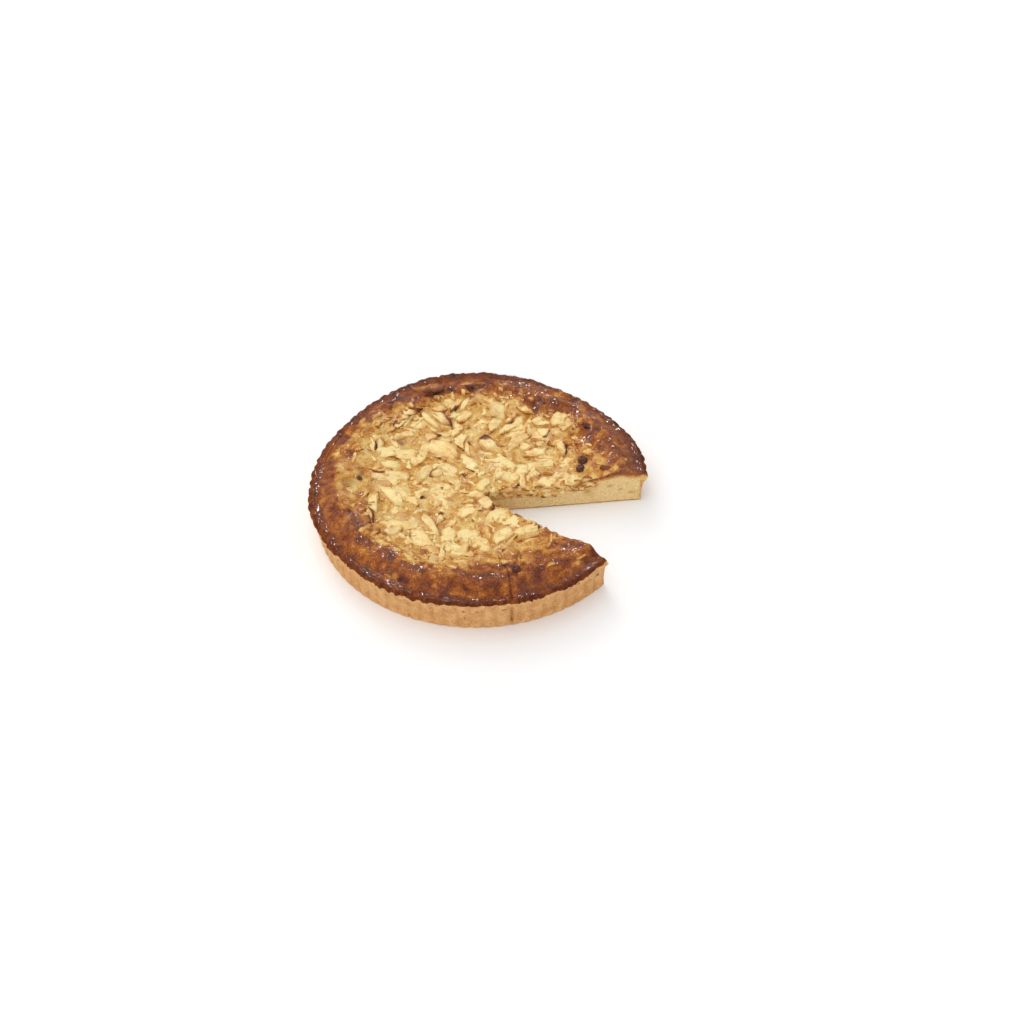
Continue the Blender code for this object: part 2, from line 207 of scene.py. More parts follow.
class Finish:
    # one material and its nodes
    def __init__(self, name):
        self.material = bpy.data.materials.new(name)
        self.material.use_nodes = True
        self.tree = self.material.node_tree
        self.shader = self.tree.nodes["Principled BSDF"]
        self.place = self.node("ShaderNodeTexCoord").outputs["Object"]

    def node(self, kind, settings=None, values=None):
        made = self.tree.nodes.new(kind)
        for name, setting in (settings or {}).items():
            if name == "stops":
                self.setStops(made.color_ramp, setting)
            else:
                setattr(made, name, setting)
        for key, value in (values or {}).items():
            self.feed(made.inputs[key], value)
        return made

    def setStops(self, ramp, stops):
        while len(ramp.elements) < len(stops):
            ramp.elements.new(1.0)
        for element, (place, colour) in zip(ramp.elements, stops):
            element.position, element.color = place, colour

    def feed(self, socket, value):
        if isinstance(value, Num):
            value = value.socket
        if isinstance(value, bpy.types.NodeSocket):
            self.tree.links.new(value, socket)
        elif value is not None:
            socket.default_value = value

    def math(self, operation, first, second=None):
        values = {0: first} if second is None else {0: first, 1: second}
        return Num(self, self.node("ShaderNodeMath", {"operation": operation}, values).outputs[0])

    def clamped(self, value):
        made = self.node("ShaderNodeMath", {"operation": "ADD", "use_clamp": True}, {0: value, 1: 0.0})
        return Num(self, made.outputs[0])

    def band(self, value, start, end):
        settings = {"interpolation_type": "SMOOTHSTEP"}
        values = {"Value": value, "From Min": start, "From Max": end}
        return Num(self, self.node("ShaderNodeMapRange", settings, values).outputs[0])

    def attribute(self, name):
        return Num(self, self.node("ShaderNodeAttribute", {"attribute_name": name}).outputs["Fac"])

    def noise(self, size, detail=3.0, rough=0.55, place=None, distortion=0.0):
        # bumps about this many millimetres across
        values = {"Vector": place or self.place, "Scale": 1.0 / (size * mm), "Detail": detail,
                  "Roughness": rough, "Distortion": distortion}
        return Num(self, self.node("ShaderNodeTexNoise", None, values).outputs["Fac"])

    def ramp(self, value, stops):
        return self.node("ShaderNodeValToRGB", {"stops": stops}, {"Fac": value}).outputs["Color"]

    def mix(self, share, first, second, blend="MIX"):
        settings = {"data_type": "RGBA", "blend_type": blend, "clamp_factor": True}
        values = {"Factor": share, 6: first, 7: second}
        return self.node("ShaderNodeMix", settings, values).outputs[2]

    def stretched(self, x, y, z, place=None):
        values = {"Vector": place or self.place, "Scale": (x, y, z)}
        return self.node("ShaderNodeMapping", None, values).outputs[0]

    def height(self):
        parts = self.node("ShaderNodeSeparateXYZ", None, {"Vector": self.place})
        return Num(self, parts.outputs["Z"])

    def bump(self, value, depth):
        bumps = self.node("ShaderNodeBump", None, {"Height": value, "Distance": depth * mm})
        self.feed(self.shader.inputs["Normal"], bumps.outputs[0])

    def glazed(self, colour, share):
        # pools of golden glaze and a milky haze that run over batter and apple alike
        golden = self.band(self.noise(9.0, 3.0), 0.52, 0.66) * 0.6
        colour = self.mix(golden * share, colour, paint(204, 142, 70))
        haze = self.band(self.noise(14.0, 2.0), 0.52, 0.7)
        return self.mix(haze * share * 0.4, colour, paint(232, 190, 146))

    def set(self, **sockets):
        for name, value in sockets.items():
            label = {"baseColour": "Base Color", "roughness": "Roughness", "coat": "Coat Weight",
                     "coatRoughness": "Coat Roughness", "subsurface": "Subsurface Weight",
                     "subsurfaceScale": "Subsurface Scale", "subsurfaceRadius": "Subsurface Radius",
                     "specular": "Specular IOR Level"}[name]
            self.feed(self.shader.inputs[label], value)


# Materials

crustPaint = {
    "batter": ((0.0, paint(240, 206, 136)), (0.14, paint(228, 182, 104)), (0.28, paint(208, 146, 66)),
               (0.42, paint(184, 110, 46)), (0.56, paint(154, 84, 38)), (0.72, paint(124, 62, 32)),
               (0.86, paint(98, 46, 28)), (1.0, paint(68, 34, 24))),
    "side": (paint(240, 190, 130), paint(214, 154, 96)),
    # painted shade for the flute grooves and knife marks on the side
    "groove": paint(170, 108, 62),
    "crumb": (paint(250, 220, 162), paint(232, 196, 134)),
    "baseLine": paint(160, 112, 62),
    "scorch": paint(62, 32, 25),
    "apple": ((0.3, paint(150, 98, 46)), (0.42, paint(206, 156, 84)), (0.55, paint(234, 196, 124)),
              (0.7, paint(212, 166, 94))),
}


def crustFinish(name):
    # baked dough and batter: browned glossy top, dry fluted side, open crumb and apple where cut
    made = Finish(name)
    baked, crumb, side = made.attribute("baked"), made.attribute("crumb"), made.attribute("side")
    scorch, inside = made.attribute("scorch"), made.attribute("inside")
    blotch, patch, fine = made.noise(12.0, 3.0, 0.6), made.noise(3.8, 3.0, 0.6), made.noise(1.6, 2.0, 0.6)
    grain = made.noise(0.9, 2.0, 0.6)
    tone = baked + (blotch - 0.5) * 0.35 + (patch - 0.5) * 0.5
    tone = tone + (fine - 0.5) * 0.55 + (grain - 0.5) * 0.25
    top = made.glazed(made.ramp(tone, crustPaint["batter"]), 1 - made.band(baked, 0.28, 0.45))

    mottle = made.noise(9.0, 5.0, 0.7) * 0.4 + patch * 0.2 + fine * 0.2 + grain * 0.2
    sideTone = made.mix(made.band(mottle, 0.4, 0.6), *crustPaint["side"])
    # painted shade: the side is darkened in the flute grooves and knife marks
    groove = made.attribute("groove")
    sideTone = made.mix(made.clamped(groove + groove * (patch - 0.5) * 2.0), sideTone, crustPaint["groove"])
    dots = made.band(made.noise(1.7, 1.0), 0.68, 0.75) * 0.6
    sideTone = made.mix(dots, sideTone, paint(120, 72, 42))

    pores = made.noise(1.4, 3.0, 0.6)
    crumbTone = made.mix(made.band(pores, 0.34, 0.62), crustPaint["crumb"][1], crustPaint["crumb"][0])
    warm = made.band(made.noise(11.0, 2.0), 0.5, 0.75) * 0.35
    crumbTone = made.mix(warm, crumbTone, paint(216, 172, 106))
    baseEdge = 1 - made.band(made.height() + (patch - 0.5) * 1.2 * mm, 0.5 * mm, 1.6 * mm)
    crumbTone = made.mix(baseEdge * 0.8, crumbTone, crustPaint["baseLine"])
    apple = made.ramp(made.noise(6.0, 2.0, 0.5, distortion=0.8) + (fine - 0.5) * 0.2, crustPaint["apple"])

    tone = made.mix(made.band(side + (fine - 0.5) * 0.7, 0.3, 0.6), top, sideTone)
    tone = made.mix(made.clamped(scorch), tone, crustPaint["scorch"])
    tone = made.mix(crumb, tone, crumbTone)
    tone = made.mix(inside, tone, apple)
    dry = made.clamped(made.band(side, 0.05, 0.2) + crumb)
    gloss = made.band(baked, 0.1, 0.5) * (1 - dry)
    made.set(baseColour=tone, roughness=0.55 + dry * 0.3 + (patch - 0.5) * 0.3 - gloss * 0.1,
             coat=gloss * (0.1 + made.band(blotch, 0.4, 0.56) * 0.45), coatRoughness=0.1, specular=0.1,
             subsurface=0.1, subsurfaceScale=2.0 * mm, subsurfaceRadius=(1.0, 0.7, 0.45))
    made.bump(patch * 1.0 + fine * 0.8 + grain * 0.35, 1.7)
    return made.material


applePaint = {
    "flesh": ((0.0, paint(254, 229, 162)), (0.3, paint(248, 211, 141)), (0.6, paint(232, 180, 104)),
              (0.85, paint(204, 140, 66)), (1.0, paint(168, 102, 46))),
    "toast": ((0.0, paint(200, 132, 62)), (0.5, paint(148, 82, 42)), (1.0, paint(98, 50, 32))),
}


def appleFinish():
    # baked apple: pale moist flesh, golden where the sugar took colour, brown tips
    made = Finish("bakedApple")
    tone, toast = made.attribute("tone"), made.attribute("toast")
    blotch, fine = made.noise(5.0, 4.0, 0.65), made.noise(1.3, 3.0, 0.6)
    lengthwise = made.node("ShaderNodeAttribute", {"attribute_name": "lengthwise"}).outputs["Vector"]
    fibre = made.noise(1.5, 3.0, 0.6, place=made.stretched(0.22, 1.0, 1.0, lengthwise), distortion=0.4)
    golden = tone + (blotch - 0.5) * 1.4 + (fibre - 0.5) * 1.5 + (fine - 0.5) * 0.6
    flesh = made.ramp(golden, applePaint["flesh"])
    burnt = made.clamped(toast + (blotch - 0.5) * 0.5 + (fine - 0.5) * 0.25)
    brown = made.ramp(burnt, applePaint["toast"])
    flesh = made.glazed(flesh, 0.6)
    colour = made.mix(made.band(burnt, 0.2, 0.6), flesh, brown)
    made.set(baseColour=colour, roughness=0.46 + (fine - 0.5) * 0.3, coat=0.06, coatRoughness=0.16,
             specular=0.2, subsurface=0.1, subsurfaceScale=1.5 * mm, subsurfaceRadius=(1.0, 0.7, 0.45))
    made.bump(blotch * 0.8 + fibre * 1.2 + fine * 0.6, 0.9)
    return made.material


def raisinFinish():
    made = Finish("raisinSkin")
    folds = made.noise(2.2, 3.0, 0.6)
    made.set(baseColour=made.ramp(folds, ((0.35, paint(52, 24, 22)), (0.65, paint(112, 56, 40)))),
             roughness=0.42, coat=0.2, coatRoughness=0.12, specular=0.3)
    made.bump(folds, 0.7)
    return made.material


def floorFinish():
    made = Finish("paleFloor")
    made.set(baseColour=paint(250, 250, 250), roughness=0.6, specular=0.2)
    made.shader.inputs["Emission Color"].default_value = (1.0, 1.0, 1.0, 1.0)
    made.shader.inputs["Emission Strength"].default_value = 0.04
    return made.material


# Turning the tart round the point of the cut

layerNames = ("baked", "side", "crumb", "scorch", "inside", "groove")


def rayPoint(direction, radius):
    # where a line from the cut's point meets the ring of this radius
    middle = tart["cutPoint"] * (1.0 - band(radius, 0.0, 60.0))
    turn = math.radians(direction)
    along = Vector((math.cos(turn), math.sin(turn)))
    offset = tart["cutPoint"] - middle
    reach = offset.dot(along)
    far = -reach + math.sqrt(max(reach * reach + radius * radius - offset.length_squared, 0.0))
    return tart["cutPoint"] + along * far


def settle(direction, radiusOf):
    # the radius may depend on the angle, so the point is found in a few steps
    radius, angle = 90.0, direction
    for _ in range(2):
        radius = radiusOf(angle)
        spot = rayPoint(direction, radius)
        angle = math.degrees(math.atan2(spot.y, spot.x)) % 360.0
    return spot, radius, angle


def spunShell(rings, steps, place):
    # a loop of rings spun round the cut's point, then set in place, left open at both cuts
    shell = bmesh.new()
    reaches = [0.0] + [10.0] * (rings - 2) + [0.0]
    stack = [shell.verts.new((reach, 0.0, -float(ring))) for ring, reach in enumerate(reaches)]
    for upper, lower in zip(stack, stack[1:]):
        shell.edges.new((upper, lower))
    sweep = math.radians(tart["frontCut"] - tart["backCut"])
    bmesh.ops.spin(shell, geom=shell.verts[:] + shell.edges[:], cent=(0, 0, 0), axis=(0, 0, 1),
                   angle=sweep, steps=steps, use_merge=False, use_duplicate=False)
    marks = {name: shell.verts.layers.float.new(name) for name in layerNames}
    for vertex in shell.verts:
        ring = round(-vertex.co.z)
        turn = math.degrees(math.atan2(vertex.co.y, vertex.co.x)) % 360.0
        onAxis = ring in (0, rings - 1)
        place(vertex, ring, tart["backCut"] + (0.0 if onAxis else turn), marks)
    bmesh.ops.remove_doubles(shell, verts=shell.verts, dist=weldGap)
    return shell, marks


def cutFace(shell, loopPoint, topCount, sideCount, direction, relief):
    # a fine grid between the top line, the side, the base and the upright at the cut's point
    face = bmesh.ops.create_grid(shell, x_segments=topCount, y_segments=sideCount, size=1.0)
    upright = [loopPoint(0).lerp(loopPoint(-1), step / sideCount) for step in range(sideCount + 1)]
    top = [loopPoint(step) for step in range(topCount + 1)]
    side = [loopPoint(topCount + step) for step in range(sideCount + 1)]
    base = [loopPoint(2 * topCount + sideCount - step) for step in range(topCount + 1)]
    turn = math.radians(direction)
    outward = Vector((math.sin(turn), -math.cos(turn), 0.0))
    for vertex in face["verts"]:
        column = round((vertex.co.x + 1.0) / 2.0 * topCount)
        row = round((1.0 - vertex.co.y) / 2.0 * sideCount)
        across, down = column / topCount, row / sideCount
        straight = (top[column] * (1 - down) + base[column] * down
                    + upright[row] * (1 - across) + side[row] * across)
        corners = (top[0] * (1 - across) * (1 - down) + top[-1] * across * (1 - down)
                   + base[0] * (1 - across) * down + base[-1] * across * down)
        vertex.co = straight - corners
        inner = min(column, topCount - column, 3) * min(row, sideCount - row, 3) / 9.0
        relief(vertex, inner, outward)


def cutFaces(shell, ringSpot, rings, topCount, sideCount, relief):
    # closes the shell at both cuts and welds it
    for direction, side in ((tart["backCut"], 1.0), (tart["frontCut"], -1.0)):
        def loopPoint(ring):
            spot, height, _, _ = ringSpot(ring % rings, direction)
            return Vector((spot.x, spot.y, height))
        cutFace(shell, loopPoint, topCount, sideCount, direction,
                lambda vertex, inner, outward: relief(vertex, inner, outward * side))
    bmesh.ops.remove_doubles(shell, verts=shell.verts, dist=weldGap)


def finishedPiece(name, shell, material, smoothAngle=45.0):
    # turns the working mesh into a piece in metres, faces outwards
    bmesh.ops.recalc_face_normals(shell, faces=shell.faces)
    bmesh.ops.scale(shell, vec=(mm, mm, mm), verts=shell.verts)
    mesh = bpy.data.meshes.new(name)
    shell.to_mesh(mesh)
    shell.free()
    mesh.materials.append(material)
    mesh.shade_smooth()
    mesh.set_sharp_from_angle(angle=math.radians(smoothAngle))
    made = bpy.data.objects.new(name, mesh)
    bpy.context.scene.collection.objects.link(made)
    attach(made, "root")
    return made


# The top of the batter, shared by the border and by the batter between the slices

batter = {
    # lumps of apple under the skin of the border: how many, how far out, and how far they rise
    "buried": 84,
    "buriedReach": 121.0,
    "buriedRise": (0.7, 2.0),
    # folds and cracks: width, depth, how much darker, as painted shade in the fold where above nought and
    # paler batter where below, and the points they run through
    "creases": ((0.9, 1.3, 0.35, ((46, -62), (27, -69), (19, -77), (17, -87), (20, -96))),
                (0.6, 1.0, 0.22, ((20, -96), (22.5, -104), (24, -112), (26.5, -129))),
                (1.3, 0.3, -0.14, ((25, -106), (28, -113), (29, -126))),
                (0.7, 0.8, 0.3, ((-78, 77), (-76, 92), (-73, 106))),
                (0.9, 0.7, -0.16, ((-30, -119), (-18, -124), (-4, -127), (8, -125))),
                (0.8, 0.7, -0.15, ((74, -98), (83, -92)))),
    # scorched spots: x, y, radius, strength
    "spots": (
        (-96, -2, 3.2, 0.9), (-95, 4, 3, 0.4), (-112, 45, 5.5, 0.4), (-110, 27, 3, 0.5),
        (-104, 26, 3, 0.4), (-113, 0, 2.5, 0.6), (-104, -10, 6, 0.3), (-28, 109, 4, 0.7),
        (-5, 111, 4, 0.7), (-66, 46, 2.4, 0.6), (47, 83, 6, 0.4), (54, 89, 2.4, 0.8), (67, 59, 2, 0.7),
        (-55, -111.5, 2.6, 0.9), (-45, -93, 1.6, 0.9), (20, 31, 2.4, 0.7), (56, 39, 1.8, 0.8),
        (41, 27, 1.3, 0.8), (104, 24, 3, 0.3), (80, -8, 4, 0.5), (-97, -45, 3, 0.4), (-88, -75, 4, 0.3),
        (36, 112, 3, 0.7), (121, 40, 2, 0.8), (35, -99, 1.5, 0.6), (-58, 110, 3, 0.7),
        (-108, 28, 2.5, 0.5), (2, 112, 3, 0.5), (-25, 64, 1.2, 0.8), (-9, 76, 0.9, 0.8)),
    # pale or golden patches: x, y, radius, how much lighter
    "pale": (
        (76, 66, 7, 0.2), (97, 22, 6, 0.12), (103, -1, 4, 0.2), (-95, 44, 6, 0.15), (-84, 70, 7, 0.15),
        (-73, -78, 6, 0.2), (-100, -14, 6, 0.15), (-62, -108, 5, 0.25), (-45, -92, 9, 0.2),
        (-32, -90, 8, 0.2), (34, -92, 5, 0.25), (70, -70, 6, 0.1), (-14, 116, 5, 0.2), (68, 102, 6, 0.25),
        (24, 117, 5, 0.15), (-100, 62, 5, 0.15), (-30, -126, 4, 0.15), (-117, 24, 5, 0.15),
        (-102, -22, 6, 0.15)),
}


def buriedLumps():
    draw = random.Random(8)
    found = []
    for _ in range(batter["buried"]):
        angle = draw.uniform(0.0, 360.0)
        reach = appleReach(angle)
        radius = reach + (batter["buriedReach"] - reach) * draw.random() ** 1.3
        turn = math.radians(draw.uniform(0.0, 180.0))
        found.append((*onRound(radius, angle), math.cos(turn), math.sin(turn), draw.uniform(9.0, 20.0),
                      draw.uniform(5.0, 9.0), draw.uniform(*batter["buriedRise"])))
    return found


lumpList = buriedLumps()


@lru_cache(maxsize=None)
def buriedRise(x, y):
    highest = 0.0
    for lumpX, lumpY, cosine, sine, length, width, rise in lumpList:
        awayX, awayY = x - lumpX, y - lumpY
        if abs(awayX) < length and abs(awayY) < length:
            along = (awayX * cosine + awayY * sine) / length * 2.0
            across = (awayY * cosine - awayX * sine) / width * 2.0
            away = along * along + across * across
            if away < 1.3:
                highest = max(highest, rise * ease(1.3 - away))
    return highest


@lru_cache(maxsize=None)
def creaseAt(x, y):
    # how deep a fold goes here, and how much painted shade lies in it (below nought it is paler batter
    # instead)
    depth, shade = 0.0, 0.0
    spot = Vector((x, y))
    for width, deep, dark, points in batter["creases"]:
        for start, end in zip(points, points[1:]):
            first, second = Vector(start), Vector(end)
            along = second - first
            share = clamp((spot - first).dot(along) / along.length_squared)
            away = (spot - first - along * share).length
            if away < 3.0 * width:
                near = math.exp(-(away / width) ** 2)
                depth = max(depth, deep * near)
                shade += dark * near if abs(shade) < 0.3 else 0.0
    return depth, shade


def spotAt(x, y):
    total = 0.0
    for spotX, spotY, radius, strength in batter["spots"]:
        away = math.hypot(x - spotX, y - spotY) / radius
        if away < 2.0:
            away += 0.5 * wave(x, y, 0.9 * radius, spotX)
            total = max(total, strength * (1.0 - band(away, 0.5, 1.1)))
    return total


def paleAt(x, y):
    total = 0.0
    for spotX, spotY, radius, strength in batter["pale"]:
        away = math.hypot(x - spotX, y - spotY) / radius
        if away < 1.8:
            total = max(total, strength * (1.0 - band(away + 0.5 * wave(x, y, 4.0, spotX), 0.5, 1.1)))
    return total


def topHeight(x, y, radius, angle):
    reach = appleReach(angle)
    border = band(radius, reach - 3.0, reach + 7.0)
    room = clamp((tart["valleyRadius"] - radius) / 6.0)
    lumps = 1.0 * wave(x, y, 15.0, 3.0) + 0.8 * (abs(wave(x, y, 9.0, 8.0)) - 0.25)
    lumps += 0.6 * wave(x, y, 4.0, 5.0)
    between = 1.3 * wave(x, y, 8.0, 31.0) + 0.7 * wave(x, y, 3.2, 33.0) - 0.4
    wrinkles = 0.24 * wave(x, y, 1.9, 7.0)
    return (surfaceHeight(radius, angle) + border * room * (lumps + buriedRise(x, y))
            + (1.0 - border) * between + wrinkles - creaseAt(x, y)[0])


def bakedAt(x, y, radius, angle):
    # how browned the batter is, from 0, pale, to 1, nearly black
    reach, brownFrom = appleReach(angle), roundTheTart(tart["brownFrom"], angle)
    ragged = radius + 5.0 * wave(x, y, 9.0, 17.0) + 3.0 * wave(x, y, 3.5, 18.0)
    start = 0.16 + 0.19 * band(radius, reach - 12.0, max(reach + 2.0, brownFrom - 5.0))
    deep = 0.28 * band(ragged, brownFrom - 3.5, brownFrom + 3.5) + 0.15 * band(radius, 125.0, 131.0)
    satin = 0.04 * band(radius, 108.0, 114.0) * (1.0 - band(abs(angle - 195.0), 25.0, 45.0))
    patches = 0.2 * wave(x, y, 16.0, 12.0) + 0.26 * wave(x, y, 6.0, 14.0)
    lump = 0.09 * buriedRise(x, y)
    # the folds add their painted shade, or paler batter, along the creases
    return (start + deep - satin - lump - paleAt(x, y) + patches * (1.0 - 0.6 * band(radius, 124.0, 130.0))
            + creaseAt(x, y)[1])


def crustDepth(radius, x, height):
    # how far the brown top runs down a cut face
    thick = 4.2 + 2.2 * band(radius, 96.0, 110.0) - 3.4 * band(radius, 118.0, 128.0)
    return thick + 1.6 * wave(x, height, 5.0, 41.0)


# The cake

cake = {
    "steps": 720,
    "basinRings": 12,
    "borderRings": 36,
    "lipSteps": 3,
    "crumbDepth": 0.5,
    # how long a degree of the side is, in millimetres
    "degree": 2.3,
    # dark specks on the side: direction, height, size
    "sideSpots": (
        (278.8, 19.5, 2.2), (270.4, 18.5, 1.4), (266.2, 18.8, 1.2), (266.4, 11, 1), (281.4, 5, 1.2),
        (304, 24, 1.2), (307, 20, 1), (313, 17, 1.2)),
    # brown pockets in the crumb of the cuts: radius, height, size
    "pockets": ((93, 20, 4.5), (88, 14, 3.5), (124, 9, 3.0), (115, 14, 1.6), (106, 18, 1.2)),
}


def lipLine():
    # places along the lip and side: index into the list of rings, in fine steps
    count = len(tart["lip"]) - 1
    return [step / cake["lipSteps"] for step in range(count * cake["lipSteps"] + 1)]


def lipPlace(along, angle):
    rings = tart["lip"]
    columns = [[(number, ring[part]) for number, ring in enumerate(rings)] for part in range(4)]
    radius, height, fluting, swelling = (smoothBetween(column, along) for column in columns)
    sag = tart["lipSag"] * noise.noise(Vector((*onRound(6.0, angle), 3.0)))
    sag += roundTheTart(tart["lipRise"], angle) * swelling
    mark = knifeMark(angle)
    radius += tart["fluteDepth"] * fluting * flute(angle) - 0.6 * mark * fluting
    radius += roundTheTart(tart["lipSwell"], angle) * swelling
    spot = Vector((*onRound(radius, angle), height))
    upper = band(height, 17.0, 22.0)
    rough = noise.noise(spot / 5.0) * (0.3 + 0.5 * upper) + noise.noise(spot / 1.9) * (0.12 + 0.25 * upper)
    low = clamp(height / 3.0)
    return radius + rough * low, height + (sag - mark + rough * 0.7) * clamp(height / 12.0)


def makeCake(material):
    basinRings, borderRings = cake["basinRings"], cake["borderRings"]
    lips = lipLine()
    tipStep = tart["lipTip"] * cake["lipSteps"]
    topCount = basinRings + 1 + borderRings + tipStep
    sideCount = len(lips) - 1 - tipStep
    rings = 2 * topCount + sideCount + 1

    def ringSpot(ring, direction):
        if ring <= basinRings:
            share = 0.99 * ring / basinRings
            spot, radius, angle = settle(direction, lambda turn: share * appleReach(turn))
            return spot, basinHeight(share, angle), radius, angle
        if ring <= basinRings + 1 + borderRings:
            share = (ring - basinRings - 1) / borderRings
            spot, radius, angle = settle(direction, lambda turn: (
                appleReach(turn) + share * (tart["valleyRadius"] - appleReach(turn))))
            height = topHeight(spot.x, spot.y, radius, angle)
            return spot, height - knifeMark(angle) * band(radius, 118.0, 126.0), radius, angle
        if ring <= topCount + sideCount:
            along = lips[ring - basinRings - 1 - borderRings]
            spot, radius, angle = settle(direction, lambda turn: lipPlace(along, turn)[0])
            return spot, lipPlace(along, angle)[1], radius, angle
        share = 1.0 - (ring - topCount - sideCount) / topCount
        spot, radius, angle = settle(direction, lambda turn: share * lipPlace(lips[-1], turn)[0])
        return spot, 0.0, radius, angle

    def place(vertex, ring, direction, marks):
        spot, height, radius, angle = ringSpot(ring, direction)
        vertex.co = Vector((spot.x, spot.y, height))
        vertex[marks["baked"]] = bakedAt(spot.x, spot.y, radius, angle)
        lipEdge = roundTheTart(tart["paleTop"], angle) + 1.6 * wave(spot.x, spot.y, 7.0, 21.0)
        lipEdge += 1.2 * wave(spot.x, spot.y, 2.2, 22.0)
        sideShare = 1.0 - band(height, lipEdge - 1.0, lipEdge + 1.0)
        vertex[marks["side"]] = sideShare if ring > topCount - 2 else 0.0
        if topCount - 2 * cake["lipSteps"] < ring <= topCount + sideCount:
            vertex[marks["side"]] = max(vertex[marks["side"]], 0.22)
        if basinRings < ring < topCount + 2:
            vertex[marks["scorch"]] = spotAt(spot.x, spot.y)
        elif ring <= topCount + sideCount:
            # painted shade: darker in each flute groove, darkest in the knife marks
            groove = 0.26 * clamp(0.3 - 0.7 * flute(angle))
            vertex[marks["groove"]] = groove + 0.9 * clamp(knifeMark(angle))
            for at, high, wide in cake["sideSpots"]:
                away = math.hypot((angle - at) * cake["degree"], height - high) / wide
                dark = 0.9 - 0.9 * band(away, 0.5, 1.1)
                vertex[marks["scorch"]] = max(vertex[marks["scorch"]], dark)

    shell, marks = spunShell(rings, cake["steps"], place)

    def relief(vertex, inner, outward):
        spot = vertex.co
        pores = noise.noise(spot / 2.4) * 0.6 + noise.noise(spot / 1.1) * 0.4 - 0.25
        radius, angle = polar(spot.x, spot.y)
        below = surfaceHeight(radius, angle) - spot.z - crustDepth(radius, spot.x, spot.z)
        edge = 132.5 - radius + 0.8 * wave(spot.x, spot.z, 4.0, 43.0)
        crumb = band(below, -0.8, 0.8) * band(edge, 1.2, 2.6)
        pocket = 0.0
        for along, high, wide in cake["pockets"]:
            away = math.hypot((radius - along) / wide, (spot.z - high) / wide * 1.5)
            away += 0.5 * wave(spot.x, spot.z, 2.5, along)
            pocket = max(pocket, 1.0 - band(away, 0.5, 1.2))
        vertex.co = spot + outward * inner * cake["crumbDepth"] * pores
        vertex[marks["crumb"]] = crumb * (1.0 - 0.8 * pocket)
        vertex[marks["side"]] = 0.0
        baked = 0.62 - 0.42 * band(below, -4.5, 0.0) - 0.15 * (1.0 - band(edge, 0.0, 2.6))
        vertex[marks["baked"]] = baked + 0.2 * pocket

    cutFaces(shell, ringSpot, rings, topCount, sideCount, relief)
    made = finishedPiece("tart_cake", shell, material)
    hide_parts("cake")
    print("cake made:", len(made.data.polygons), "faces")


# The apple

